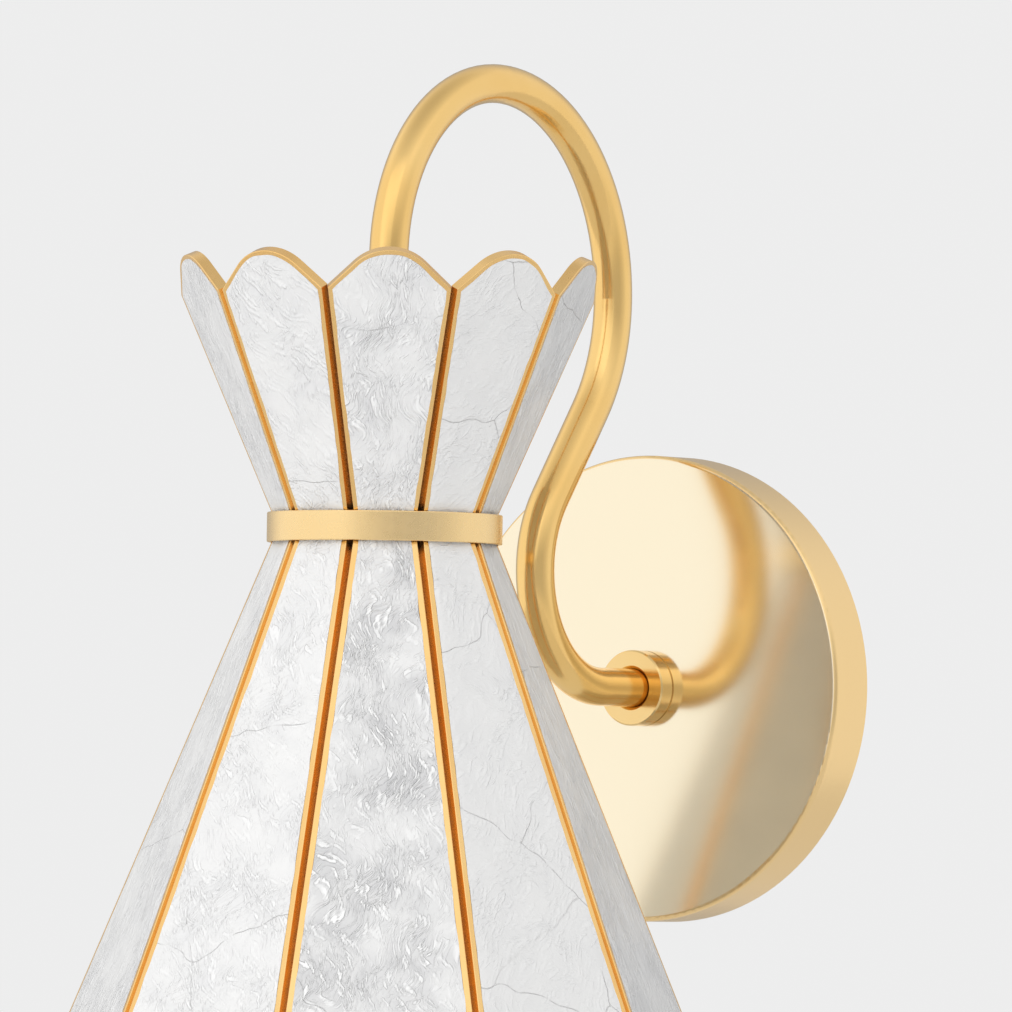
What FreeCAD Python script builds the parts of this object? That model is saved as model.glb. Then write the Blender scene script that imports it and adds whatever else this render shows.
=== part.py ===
"""Shell wall sconce: a ten-sided, pinched shade of framed shell sheets, hung from a bent tube on a round
backplate. Millimetres. +Z is up, the wall is the plane Y = 0, the lamp stands out towards -Y, and the
origin is the centre of the backplate on the wall."""

import FreeCAD, Part
import math
import os
import re

import Sketcher
from FreeCAD import Placement, Rotation, Vector

doc = FreeCAD.newDocument("shell_wall_sconce")
sheet = doc.addObject("Spreadsheet::Sheet", "sizes")

SIZES = (
    # backplate, a spun cup
    ("plate_diameter", 127.0),
    ("plate_depth", 15.2),
    ("plate_wall", 1.2),
    ("plate_edge_radius", 1.3),
    # boss where the tube leaves the plate
    ("boss_diameter", 20.6),
    ("boss_length", 5.3),
    ("boss_chamfer", 0.4),
    ("boss_mouth", 0.8),
    # bent tube
    ("tube_diameter", 10.4),
    ("tube_wall", 1.0),
    ("tube_clearance", 0.1),
    ("elbow_start", 35.5),
    ("elbow_radius", 31.25),
    ("lean_angle", 37.0),
    ("rise_length", 30.8),
    ("shoulder_radius", 50.8),
    ("loop_rear_radius", 55.2),
    ("arm_reach", 136.5),
    ("tube_overhang", 1.5),
    # nuts and washer on the tube
    ("nut_flats", 14.0),
    ("nut_thickness", 3.0),
    ("washer_diameter", 19.0),
    ("washer_thickness", 1.0),
    # crossbar on the wall box
    ("bracket_width", 20.0),
    ("bracket_thickness", 1.6),
    ("bracket_tab_depth", 10.0),
    ("bracket_fit", 0.3),
    ("bracket_hole", 12.0),
    ("slot_spacing", 88.9),
    ("slot_length", 14.0),
    ("slot_width", 4.8),
    ("ground_height", 22.0),
    ("ground_diameter", 4.0),
    ("ground_head", 7.6),
    ("ground_head_height", 2.4),
    # set screws through the rim
    ("grub_diameter", 4.0),
    ("grub_length", 7.0),
    ("grub_from_wall", 7.0),
    ("grub_clearance", 0.1),
    ("grub_key", 2.0),
    # shade
    ("panel_count", 10),
    ("shade_turn", 0.0),
    ("waist_height", 39.5),
    ("waist_radius", 28.6),
    ("crown_lean", 22.4),
    ("crown_side_length", 65.9),
    ("scallop_radius", 13.2),
    ("skirt_lean", 21.4),
    ("skirt_length", 179.5),
    ("waist_gap", 0.3),
    # panel frames and shell sheets
    ("frame_depth", 3.0),
    ("frame_wall", 0.8),
    ("frame_lip", 1.7),
    ("lip_thickness", 0.8),
    ("frame_edge_radius", 0.25),
    ("seam_gap", 0.05),
    ("sheet_thickness", 1.2),
    ("sheet_clearance", 0.1),
    # band round the waist
    ("band_height", 7.9),
    ("band_wall", 1.0),
    ("band_clearance", 0.15),
    ("band_edge_radius", 0.35),
    # ring, spokes and hub inside the waist
    ("ring_height", 12.0),
    ("ring_wall", 2.6),
    ("ring_clearance", 0.05),
    ("spoke_count", 3),
    ("spoke_width", 5.0),
    ("hub_diameter", 22.0),
    ("hub_thickness", 5.0),
    # lamp holder
    ("cup_diameter", 38.0),
    ("cup_wall", 1.2),
    ("cup_corner_radius", 7.0),
    ("wiring_space", 6.5),
    ("insulator_length", 36.0),
    ("insulator_roof", 8.0),
    ("insulator_fit", 0.2),
    ("cup_lip", 2.0),
    ("socket_bore", 27.0),
    ("socket_foil", 0.4),
    ("socket_fit", 0.15),
    ("thread_depth", 0.6),
    ("thread_pitch", 3.6),
    ("shell_turns", 5),
    ("shell_top_gap", 0.5),
    ("contact_width", 6.0),
    ("contact_foil", 0.5),
    ("contact_drop", 2.0),
    ("contact_reach", 10.0),
    ("contact_foot", 5.0),
    ("contact_ramp", 3.0),
    ("contact_pad", 3.0),
    ("terminal_spacing", 20.8),
    ("terminal_shank", 3.0),
    ("terminal_head", 6.0),
    ("terminal_head_height", 2.2),
    ("terminal_floor", 2.0),
    # leads and splices
    ("lead_diameter", 2.2),
    ("lead_spacing", 2.6),
    ("lead_bend", 4.0),
    ("lead_exit", 1.0),
    ("lead_end_gap", 0.1),
    ("lead_splay_bend", 3.0),
    ("lead_tail", 30.0),
    ("splice_diameter", 7.4),
    ("splice_tip", 4.0),
    ("splice_length", 18.0),
    # lamp
    ("bulb_radius", 30.0),
    ("bulb_glass_wall", 0.8),
    ("bulb_neck_radius", 12.0),
    ("bulb_neck_angle", 40.0),
    ("bulb_length", 105.0),
    ("base_diameter", 26.0),
    ("base_length", 26.0),
    ("base_cup_depth", 6.0),
    ("base_tip_radius", 4.6),
    ("base_tip_height", 5.0),
    ("base_tip_ledge", 1.6),
    ("base_turns", 4),
    ("base_thread_gap", 0.7),
    ("bulb_fit", 0.2),
)
for row, (alias, value) in enumerate(SIZES, 1):
    sheet.set(f"A{row}", alias.replace("_", " "))
    sheet.set(f"B{row}", str(value))
    sheet.setAlias(f"B{row}", alias)
doc.recompute()

ALIASES = re.compile(r"\b(" + "|".join(alias for alias, value in SIZES) + r")\b")


def formula(text):
    """The expression with each size's name pointing into the sheet."""
    return ALIASES.sub(r"sizes.\1", text)


def number(text):
    """The value of a formula."""
    return float(sheet.evalExpression(formula(text)))


def bind(thing, prop, text):
    """Tie a property to a formula of sizes."""
    thing.setExpression(prop, formula(text))


def place(thing, x="0", y="0", z="0", tilt="0", turn="0"):
    """Tilt a piece about X, turn it about Z, and set it at a point."""
    bind(
        thing,
        "Placement",
        f"create(<<placement>>; create(<<vector>>; {x}; {y}; {z}); "
        f"create(<<rotation>>; create(<<vector>>; 0; 0; 1); {turn})) * "
        f"create(<<placement>>; create(<<vector>>; 0; 0; 0); "
        f"create(<<rotation>>; create(<<vector>>; 1; 0; 0); {tilt}))",
    )


# ---------------------------------------------------------------- sketches and features


def new_body(label):
    body = doc.addObject("PartDesign::Body", label)
    body.Label = label
    return body


def new_sketch(body, role, offset=None):
    """A sketch on one of the body's own planes, moved along the plane's normal."""
    sketch = body.newObject("Sketcher::SketchObject", body.Name + "_sketch")
    plane = next(f for f in body.Origin.OriginFeatures if f.Role == role)
    sketch.AttachmentSupport = (plane, "")
    sketch.MapMode = "FlatFace"
    if offset:
        bind(sketch, "AttachmentOffset.Base.z", offset)
    return sketch


def fix_point(sketch, geo, end, x_text, y_text):
    """Hold one end of a line or arc at a pair of formulas."""
    for kind, text in (("DistanceX", x_text), ("DistanceY", y_text)):
        index = sketch.addConstraint(Sketcher.Constraint(kind, -1, 1, geo, end, number(text)))
        bind(sketch, f"Constraints[{index}]", text)


def arc_between(start, finish, radius, side):
    """An arc from start to finish with its centre on the left (1) or right (-1) of the way there."""
    half = (finish - start) * 0.5
    across = Vector(-half.y, half.x, 0).normalize() * side
    centre = start + half + across * math.sqrt(max(radius**2 - half.Length**2, 0.0))
    a = math.atan2(start.y - centre.y, start.x - centre.x)
    b = math.atan2(finish.y - centre.y, finish.x - centre.x)
    circle = Part.Circle(centre, Vector(0, 0, 1), radius)
    return Part.ArcOfCircle(circle, a, b) if side > 0 else Part.ArcOfCircle(circle, b, a)


def outline(sketch, points, bends=None):
    """A closed outline through points, each a pair of formulas. bends gives the sides that are arcs: the
    number of the side's first point, with the radius and the side on which the centre lies."""
    bends = bends or {}
    spots = [Vector(number(x), number(y), 0) for x, y in points]
    first = sketch.GeometryCount
    ends = []
    for i, spot in enumerate(spots):
        following = spots[(i + 1) % len(spots)]
        if i in bends:
            radius, side = bends[i]
            geo = sketch.addGeometry(arc_between(spot, following, number(radius), side))
            ends.append((1, 2) if side > 0 else (2, 1))
        else:
            geo = sketch.addGeometry(Part.LineSegment(spot, following))
            ends.append((1, 2))
    for i, (x_text, y_text) in enumerate(points):
        before = (i - 1) % len(points)
        sketch.addConstraint(
            Sketcher.Constraint("Coincident", first + before, ends[before][1], first + i, ends[i][0])
        )
        fix_point(sketch, first + i, ends[i][0], x_text, y_text)
    for i, (radius, side) in bends.items():
        index = sketch.addConstraint(Sketcher.Constraint("Radius", first + i, number(radius)))
        bind(sketch, f"Constraints[{index}]", radius)
    return sketch


def circle(sketch, radius, x="0", y="0"):
    """A circle of a given radius about a point."""
    centre = Vector(number(x), number(y), 0)
    geo = sketch.addGeometry(Part.Circle(centre, Vector(0, 0, 1), number(radius)))
    fix_point(sketch, geo, 3, x, y)
    index = sketch.addConstraint(Sketcher.Constraint("Radius", geo, number(radius)))
    bind(sketch, f"Constraints[{index}]", radius)
    return sketch


def pad(body, sketch, length, midplane=False, reverse=False):
    feature = body.newObject("PartDesign::Pad", body.Name + "_pad")
    feature.Profile = sketch
    feature.Midplane = midplane
    feature.Reversed = reverse
    bind(feature, "Length", length)
    body.Tip = feature
    return feature


def drill(body, sketch):
    """Cut a sketch right through the body, both ways."""
    feature = body.newObject("PartDesign::Pocket", body.Name + "_cut")
    feature.Profile = sketch
    feature.Type = "ThroughAll"
    feature.Midplane = True
    body.Tip = feature
    return feature


def turned(label, points, bends=None, role="XZ_Plane", body=None):
    """A body of revolution about the sketch's upright axis: Z, or Y for pieces square to the wall."""
    body = body or new_body(label)
    sketch = outline(new_sketch(body, role), points, bends)
    feature = body.newObject("PartDesign::Revolution", body.Name + "_turn")
    feature.Profile = sketch
    feature.ReferenceAxis = (sketch, ["V_Axis"])
    feature.Angle = 360
    body.Tip = feature
    return body


def group(label, members):
    """Like pieces kept as separate solids under one name."""
    joined = doc.addObject("Part::Compound", label)
    joined.Label = label
    joined.Links = members
    return joined


nodes = []
SAME_PLACE = 1e-6

# ---------------------------------------------------------------- backplate and what holds it

PLATE_RADIUS = "plate_diameter / 2"
TUBE_HOLE = "(tube_diameter / 2 + tube_clearance)"

backplate = turned(
    "backplate",
    (
        (TUBE_HOLE, "-plate_depth"),
        (f"{PLATE_RADIUS} - plate_edge_radius", "-plate_depth"),
        (PLATE_RADIUS, "-plate_depth + plate_edge_radius"),
        (PLATE_RADIUS, "0"),
        (f"{PLATE_RADIUS} - plate_wall", "0"),
        (f"{PLATE_RADIUS} - plate_wall", "-plate_depth + plate_wall"),
        (TUBE_HOLE, "-plate_depth + plate_wall"),
    ),
    {1: ("plate_edge_radius", 1)},
    "XY_Plane",
)
GRUB_HOLE = "grub_diameter / 2 + grub_clearance"
drill(backplate, circle(new_sketch(backplate, "XY_Plane"), GRUB_HOLE, "0", "-grub_from_wall"))
nodes.append(backplate)

# A flat steel strip with its ends bent out from the wall, close inside the plate's rim.
TAB_FACE = f"(sqrt(({PLATE_RADIUS} - plate_wall)^2 - (bracket_width / 2)^2) - bracket_fit)"
HALF_BAR = "bracket_width / 2"


def rectangle(sketch, low_x, low_y, high_x, high_y):
    return outline(sketch, ((low_x, low_y), (high_x, low_y), (high_x, high_y), (low_x, high_y)))


bracket = new_body("wall_bracket")
strip = rectangle(new_sketch(bracket, "XZ_Plane"), f"-{HALF_BAR}", f"-{TAB_FACE}", HALF_BAR, TAB_FACE)
pad(bracket, strip, "bracket_thickness")
for side in (1, -1):
    tab = rectangle(
        new_sketch(bracket, "XZ_Plane"),
        f"-{HALF_BAR}",
        f"{side} * ({TAB_FACE} - bracket_thickness)",
        HALF_BAR,
        f"{side} * {TAB_FACE}",
    )
    pad(bracket, tab, "bracket_tab_depth")
    middle = f"{side} * slot_spacing / 2"
    ends = [f"{middle} - (slot_length - slot_width) / 2", f"{middle} + (slot_length - slot_width) / 2"]
    slot = new_sketch(bracket, "XZ_Plane")
    drill(bracket, rectangle(slot, "-slot_width / 2", ends[0], "slot_width / 2", ends[1]))
    for end in ends:
        drill(bracket, circle(new_sketch(bracket, "XZ_Plane"), "slot_width / 2", "0", end))
drill(bracket, circle(new_sketch(bracket, "XZ_Plane"), "bracket_hole / 2"))
GROUND_HOLE = "ground_diameter / 2 + grub_clearance"
drill(bracket, circle(new_sketch(bracket, "XZ_Plane"), GROUND_HOLE, "0", "ground_height"))
drill(bracket, circle(new_sketch(bracket, "XY_Plane"), GRUB_HOLE, "0", "-grub_from_wall"))
nodes.append(bracket)

ground_screw = turned(
    "ground_screw",
    (
        ("0", "0"),
        ("ground_diameter / 2", "0"),
        ("ground_diameter / 2", "-bracket_thickness"),
        ("ground_head / 2", "-bracket_thickness"),
        ("ground_head / 2", "-bracket_thickness - ground_head_height"),
        ("0", "-bracket_thickness - ground_head_height"),
    ),
    role="XY_Plane",
)
place(ground_screw, z="ground_height")
nodes.append(ground_screw)

# Set screws, flush with the rim, pointing at the middle of the plate.
grubs = []
for turn in ("0", "180"):
    shank = doc.addObject("Part::Cylinder", "grub_shank")
    bind(shank, "Radius", "grub_diameter / 2")
    bind(shank, "Height", "grub_length")
    key = doc.addObject("Part::Prism", "grub_key")
    bind(key, "Circumradius", "grub_key / sqrt(3)")
    bind(key, "Height", "grub_length / 2")
    bind(key, "Placement.Base.z", "grub_length / 2")
    grub = doc.addObject("Part::Cut", "grub_screw")
    grub.Base = shank
    grub.Tool = key
    sign = "" if turn == "0" else "-"
    place(grub, y="-grub_from_wall", z=f"{sign}({PLATE_RADIUS} - grub_length)", tilt=turn)
    grubs.append(grub)
nodes.append(group("plate_screws", grubs))

# ---------------------------------------------------------------- tube, boss, washer and nuts

BOSS_FRONT = "(plate_depth + boss_length)"
nodes.append(
    turned(
        "arm_boss",
        (
            (TUBE_HOLE, "-plate_depth"),
            ("boss_diameter / 2 - boss_chamfer", "-plate_depth"),
            ("boss_diameter / 2", "-plate_depth - boss_chamfer"),
            ("boss_diameter / 2", f"-{BOSS_FRONT} + boss_chamfer"),
            ("boss_diameter / 2 - boss_chamfer", f"-{BOSS_FRONT}"),
            (f"{TUBE_HOLE} + boss_mouth", f"-{BOSS_FRONT}"),
            (TUBE_HOLE, f"-{BOSS_FRONT} + boss_mouth"),
        ),
        role="XY_Plane",
    )
)

WASHER_BACK = "(plate_depth - plate_wall - washer_thickness)"
nodes.append(
    turned(
        "arm_washer",
        (
            (TUBE_HOLE, f"-{WASHER_BACK} - washer_thickness"),
            ("washer_diameter / 2", f"-{WASHER_BACK} - washer_thickness"),
            ("washer_diameter / 2", f"-{WASHER_BACK}"),
            (TUBE_HOLE, f"-{WASHER_BACK}"),
        ),
        role="XY_Plane",
    )
)

# Heights along the shade's axis, from the hub down into the lamp holder.
HUB_BOTTOM = "(waist_height - hub_thickness / 2)"
CUP_TOP = f"({HUB_BOTTOM} - nut_thickness)"
TUBE_END = f"({CUP_TOP} - cup_wall - nut_thickness - tube_overhang)"
TUBE_START = f"({WASHER_BACK} - nut_thickness - tube_overhang)"


def hex_nut(label):
    """A thin hexagon nut, standing on its face."""
    body = new_body(label)
    corner = "nut_flats / sqrt(3)"
    corners = [(f"{corner} * cos({60 * i})", f"{corner} * sin({60 * i})") for i in range(6)]
    sketch = outline(new_sketch(body, "XY_Plane"), corners)
    circle(sketch, TUBE_HOLE)
    pad(body, sketch, "nut_thickness")
    return body


lock_nut = hex_nut("arm_lock_nut")
place(lock_nut, y=f"-{WASHER_BACK} + nut_thickness", tilt="90")
nodes.append(lock_nut)

shade_nuts = []
for height in (
    "waist_height + hub_thickness / 2",
    CUP_TOP,
    f"{CUP_TOP} - cup_wall - nut_thickness",
):
    shade_nut = hex_nut("shade_nut")
    place(shade_nut, y="-arm_reach", z=height)
    shade_nuts.append(shade_nut)
nodes.append(group("tube_nuts", shade_nuts))

# The arm is one tube bent in the plane X = 0: level out of the plate, an elbow that turns it up and back
# towards the wall, a straight rise, a shoulder, and a loop over the top and straight down.
arm = new_body("arm")
route = new_sketch(arm, "YZ_Plane")
lean = math.radians(number("lean_angle"))
elbow = number("elbow_radius")
rise = number("rise_length")
shoulder = number("shoulder_radius")
rear = number("loop_rear_radius")
elbow_centre = Vector(-number("elbow_start"), elbow, 0)
rise_start = elbow_centre + Vector(-math.cos(lean), math.sin(lean), 0) * elbow
rise_end = rise_start + Vector(math.sin(lean), math.cos(lean), 0) * rise
shoulder_centre = rise_end + Vector(-math.cos(lean), math.sin(lean), 0) * shoulder
rear_centre = shoulder_centre + Vector(shoulder - rear, 0, 0)
front = number("arm_reach") + rear_centre.x
front_centre = Vector(rear_centre.x, rear_centre.y + rear - front, 0)
upward = Vector(0, 0, 1)
turns = (
    Part.LineSegment(Vector(-number(TUBE_START), 0, 0), Vector(elbow_centre.x, 0, 0)),
    Part.ArcOfCircle(Part.Circle(elbow_centre, upward, elbow), math.pi - lean, 1.5 * math.pi),
    Part.LineSegment(rise_start, rise_end),
    Part.ArcOfCircle(Part.Circle(shoulder_centre, upward, shoulder), -lean, 0),
    Part.ArcOfCircle(Part.Circle(rear_centre, upward, rear), 0, math.pi / 2),
    Part.ArcOfCircle(Part.Circle(front_centre, upward, front), math.pi / 2, math.pi),
    Part.LineSegment(
        Vector(-number("arm_reach"), front_centre.y, 0), Vector(-number("arm_reach"), number(TUBE_END), 0)
    ),
)
for piece in turns:
    route.addGeometry(piece)

# Each piece runs smoothly into the next. The elbow's arc is the only one drawn against the run.
ELBOW = 1
for one in range(len(turns) - 1):
    leaving = 1 if one == ELBOW else 2
    arriving = 2 if one + 1 == ELBOW else 1
    route.addConstraint(Sketcher.Constraint("Tangent", one, leaving, one + 1, arriving))
fix_point(route, 0, 1, f"-{TUBE_START}", "0")
route.addConstraint(Sketcher.Constraint("Horizontal", 0))
route.addConstraint(Sketcher.Constraint("Vertical", 6))
route.addConstraint(Sketcher.Constraint("Horizontal", 4, 3, 4, 1))
route.addConstraint(Sketcher.Constraint("Vertical", 4, 3, 4, 2))
HELD = (
    (("DistanceX", -1, 1, 0, 2), "-elbow_start"),
    (("Radius", 1), "elbow_radius"),
    (("Angle", 2), "90 - lean_angle"),
    (("Distance", 2), "rise_length"),
    (("Radius", 3), "shoulder_radius"),
    (("Radius", 4), "loop_rear_radius"),
    (("DistanceX", -1, 1, 6, 2), "-arm_reach"),
    (("DistanceY", -1, 1, 6, 2), TUBE_END),
)
for what, text in HELD:
    start = math.radians(number(text)) if what[0] == "Angle" else number(text)
    index = route.addConstraint(Sketcher.Constraint(*what, start))
    bind(route, f"Constraints[{index}]", f"({text}) * 1 deg" if what[0] == "Angle" else text)
section = new_sketch(arm, "XZ_Plane", TUBE_START)
circle(section, "tube_diameter / 2")
circle(section, "tube_diameter / 2 - tube_wall")
doc.recompute()
tube = arm.newObject("PartDesign::AdditivePipe", "arm_pipe")
tube.Profile = section
tube.Spine = route
arm.Tip = tube
nodes.append(arm)

# ---------------------------------------------------------------- panel frames and shell sheets

# A panel is drawn flat, with its width along X, its slope along Y and its front at Z = 0. Frames meet
# their neighbours along the back edges, so the side walls leave a narrow valley in front.
HALF_ANGLE = "(180 / panel_count)"
APOTHEM = f"(waist_radius * cos{HALF_ANGLE})"


def half_width(along, lean_text, direction):
    """Half the width of a frame at a distance along its slope, up (+) or down (-) from the waist."""
    out = f"{APOTHEM} {direction} ({along}) * sin({lean_text}) - frame_depth * cos({lean_text})"
    return f"(({out}) * tan{HALF_ANGLE} - seam_gap)"


SHOULDER = half_width("crown_side_length", "crown_lean", "+")
FLANK = "(scallop_radius * cos(45))"
SCALLOP_START = f"(crown_side_length + {SHOULDER} - {FLANK})"
CROWN_OUTLINE = (
    (f"-{half_width('waist_gap', 'crown_lean', '+')}", "waist_gap"),
    (half_width("waist_gap", "crown_lean", "+"), "waist_gap"),
    (SHOULDER, "crown_side_length"),
    (FLANK, SCALLOP_START),
    (f"-{FLANK}", SCALLOP_START),
    (f"-{SHOULDER}", "crown_side_length"),
)
SKIRT_OUTLINE = (
    (f"-{half_width('-skirt_length', 'skirt_lean', '-')}", "-skirt_length"),
    (half_width("-skirt_length", "skirt_lean", "-"), "-skirt_length"),
    (half_width("-waist_gap", "skirt_lean", "-"), "-waist_gap"),
    (f"-{half_width('-waist_gap', 'skirt_lean', '-')}", "-waist_gap"),
)


def slab(label, sketch, inset, depth, thickness):
    """The outline drawn in by inset, as a slab that lies a given depth behind the front."""
    source = sketch
    if inset:
        source = doc.addObject("Part::Offset2D", label + "_inset")
        source.Source = sketch
        source.Mode = "Pipe"
        source.Join = "Intersection"
        bind(source, "Value", f"-({inset})")
    block = doc.addObject("Part::Extrusion", label)
    block.Base = source
    block.DirMode = "Custom"
    block.Dir = Vector(0, 0, -1)
    block.Solid = True
    block.FaceMakerClass = "Part::FaceMakerBullseye"
    bind(block, "LengthFwd", thickness)
    bind(block, "Placement.Base.z", f"-({depth})")
    return block


def flat_panel(family, points, bends):
    """The frame and the shell sheet of one kind of panel, lying flat."""
    sketch = doc.addObject("Sketcher::SketchObject", family + "_outline")
    outline(sketch, points, bends)
    solid = slab(family + "_block", sketch, None, "0", "frame_depth")
    window = slab(family + "_window", sketch, "frame_lip", "0", "frame_depth")
    groove = slab(
        family + "_groove", sketch, "frame_wall", "lip_thickness", "sheet_thickness + 2 * sheet_clearance"
    )
    opened = doc.addObject("Part::Cut", family + "_opened")
    opened.Base = solid
    opened.Tool = window
    grooved = doc.addObject("Part::Cut", family + "_grooved")
    grooved.Base = opened
    grooved.Tool = groove
    frame = new_body(family + "_frame_flat")
    frame.BaseFeature = grooved
    doc.recompute()
    rounding = frame.newObject("PartDesign::Fillet", family + "_rounding")
    front_edges = [
        f"Edge{i}"
        for i, edge in enumerate(grooved.Shape.Edges, 1)
        if all(abs(corner.Z) < SAME_PLACE for corner in edge.Vertexes)
    ]
    rounding.Base = (frame.Group[0], front_edges)
    bind(rounding, "Radius", "frame_edge_radius")
    frame.Tip = rounding
    shell = doc.addObject("Part::Common", family + "_shell_flat")
    shell.Base = solid
    shell.Tool = slab(
        family + "_sheet",
        sketch,
        "frame_wall + sheet_clearance",
        "lip_thickness + sheet_clearance",
        "sheet_thickness",
    )
    return frame, shell


def ring_of_panels(label, flat, tilt):
    """Copies of a flat panel piece stood round the shade's axis, one body each."""
    for i in range(int(number("panel_count"))):
        body = new_body(f"{label}_{i + 1:02d}")
        body.BaseFeature = flat
        bind(
            body,
            "Placement",
            f"create(<<placement>>; create(<<vector>>; 0; -arm_reach; waist_height); "
            f"create(<<rotation>>; create(<<vector>>; 0; 0; 1); shade_turn + {i} * 360 / panel_count)) * "
            f"create(<<placement>>; create(<<vector>>; 0; -{APOTHEM}; 0); "
            f"create(<<rotation>>; create(<<vector>>; 1; 0; 0); {tilt}))",
        )
        nodes.append(body)


crown_frame, crown_shell = flat_panel("crown", CROWN_OUTLINE, {3: ("scallop_radius", 1)})
skirt_frame, skirt_shell = flat_panel("skirt", SKIRT_OUTLINE, {})
ring_of_panels("crown_frame", crown_frame, "90 + crown_lean")
ring_of_panels("crown_shell", crown_shell, "90 + crown_lean")
ring_of_panels("skirt_frame", skirt_frame, "90 - skirt_lean")
ring_of_panels("skirt_shell", skirt_shell, "90 - skirt_lean")

# ---------------------------------------------------------------- waist band, ring, spokes and hub

# The band clears the frames' front corners at its upper edge, where the steeper crown stands out most.
BAND_REACH = f"({APOTHEM} + band_height / 2 * tan(crown_lean))"
BAND_CORNER = f"(({BAND_REACH} - frame_depth / cos(crown_lean)) * tan{HALF_ANGLE})"
BAND_BORE = f"(sqrt({BAND_REACH}^2 + {BAND_CORNER}^2) + band_clearance)"
BAND_OUT = f"({BAND_BORE} + band_wall)"
BAND_TOP = "(waist_height + band_height / 2)"
BAND_LOW = "(waist_height - band_height / 2)"
waist_band = turned(
    "waist_band",
    (
        (BAND_BORE, BAND_LOW),
        (f"{BAND_OUT} - band_edge_radius", BAND_LOW),
        (BAND_OUT, f"{BAND_LOW} + band_edge_radius"),
        (BAND_OUT, f"{BAND_TOP} - band_edge_radius"),
        (f"{BAND_OUT} - band_edge_radius", BAND_TOP),
        (BAND_BORE, BAND_TOP),
    ),
    {1: ("band_edge_radius", 1), 3: ("band_edge_radius", 1)},
)
place(waist_band, y="-arm_reach")
nodes.append(waist_band)

# Facets of the ring lie flat against the backs of the frames, above and below the waist.
spider = new_body("waist_spider")
SEAT = f"({APOTHEM} - frame_depth / cos(crown_lean) - ring_clearance)"


def decagon(offset, apothem):
    """The shade's own polygon, at a height above the waist."""
    count = int(number("panel_count"))
    corner = f"({apothem}) / cos{HALF_ANGLE}"
    angles = [f"({i} + 0.5) * 360 / panel_count" for i in range(count)]
    points = [(f"{corner} * sin({angle})", f"-{corner} * cos({angle})") for angle in angles]
    return outline(new_sketch(spider, "XY_Plane", offset), points)


for direction, lean_text in (("", "crown_lean"), ("-", "skirt_lean")):
    middle_section = decagon(None, SEAT)
    end_section = decagon(f"{direction}ring_height / 2", f"{SEAT} + ring_height / 2 * tan({lean_text})")
    doc.recompute()
    loft = spider.newObject("PartDesign::AdditiveLoft", "spider_loft")
    loft.Profile = middle_section
    loft.Sections = [end_section]
    loft.Ruled = True
    spider.Tip = loft
    doc.recompute()
RING_BORE = f"({SEAT} - ring_wall)"
drill(spider, circle(new_sketch(spider, "XY_Plane"), RING_BORE))
doc.recompute()
spoke_sketch = rectangle(
    new_sketch(spider, "XY_Plane"),
    "-spoke_width / 2",
    f"-({RING_BORE} + ring_wall / 2)",
    "spoke_width / 2",
    "0",
)
spoke = pad(spider, spoke_sketch, "hub_thickness", midplane=True)
doc.recompute()
spokes = spider.newObject("PartDesign::PolarPattern", "spider_spokes")
spokes.Originals = [spoke]
spokes.Axis = (spoke_sketch, ["N_Axis"])
spokes.Angle = 360
bind(spokes, "Occurrences", "spoke_count")
spider.Tip = spokes
doc.recompute()
pad(spider, circle(new_sketch(spider, "XY_Plane"), "hub_diameter / 2"), "hub_thickness", midplane=True)
doc.recompute()
drill(spider, circle(new_sketch(spider, "XY_Plane"), TUBE_HOLE))
place(spider, y="-arm_reach", z="waist_height", turn="shade_turn")
nodes.append(spider)

# ---------------------------------------------------------------- lamp holder

INSULATOR_TOP = f"({TUBE_END} - wiring_space)"
INSULATOR_LOW = f"({INSULATOR_TOP} - insulator_length)"
CAVITY_TOP = f"({INSULATOR_TOP} - insulator_roof)"
CUP_MOUTH = f"({INSULATOR_LOW} - cup_lip)"
CUP_OUT = "cup_diameter / 2"

socket_cup = turned(
    "socket_cup",
    (
        (TUBE_HOLE, CUP_TOP),
        (TUBE_HOLE, f"{CUP_TOP} - cup_wall"),
        (f"{CUP_OUT} - cup_corner_radius", f"{CUP_TOP} - cup_wall"),
        (f"{CUP_OUT} - cup_wall", f"{CUP_TOP} - cup_corner_radius"),
        (f"{CUP_OUT} - cup_wall", CUP_MOUTH),
        (CUP_OUT, CUP_MOUTH),
        (CUP_OUT, f"{CUP_TOP} - cup_corner_radius"),
        (f"{CUP_OUT} - cup_corner_radius", CUP_TOP),
    ),
    {2: ("cup_corner_radius - cup_wall", -1), 6: ("cup_corner_radius", 1)},
)
place(socket_cup, y="-arm_reach")
nodes.append(socket_cup)

SHELL_OUT = "(socket_bore / 2 + socket_foil + thread_depth)"
SOCKET_CAVITY = f"({SHELL_OUT} + socket_fit)"
insulator = turned(
    "socket_insulator",
    (
        ("0", INSULATOR_TOP),
        ("0", CAVITY_TOP),
        (SOCKET_CAVITY, CAVITY_TOP),
        (SOCKET_CAVITY, INSULATOR_LOW),
        (f"{CUP_OUT} - cup_wall - insulator_fit", INSULATOR_LOW),
        (f"{CUP_OUT} - cup_wall - insulator_fit", INSULATOR_TOP),
    ),
)
doc.recompute()
TERMINAL_DEPTH = "(insulator_roof - terminal_floor)"
for sign in ("", "-"):
    hole = circle(
        new_sketch(insulator, "XY_Plane", f"{INSULATOR_TOP} - {TERMINAL_DEPTH}"),
        "terminal_shank / 2 + tube_clearance",
        f"{sign}terminal_spacing / 2",
    )
    blind = insulator.newObject("PartDesign::Pocket", "terminal_hole")
    blind.Profile = hole
    blind.Type = "ThroughAll"
    blind.Reversed = True
    insulator.Tip = blind
place(insulator, y="-arm_reach")
nodes.append(insulator)

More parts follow.
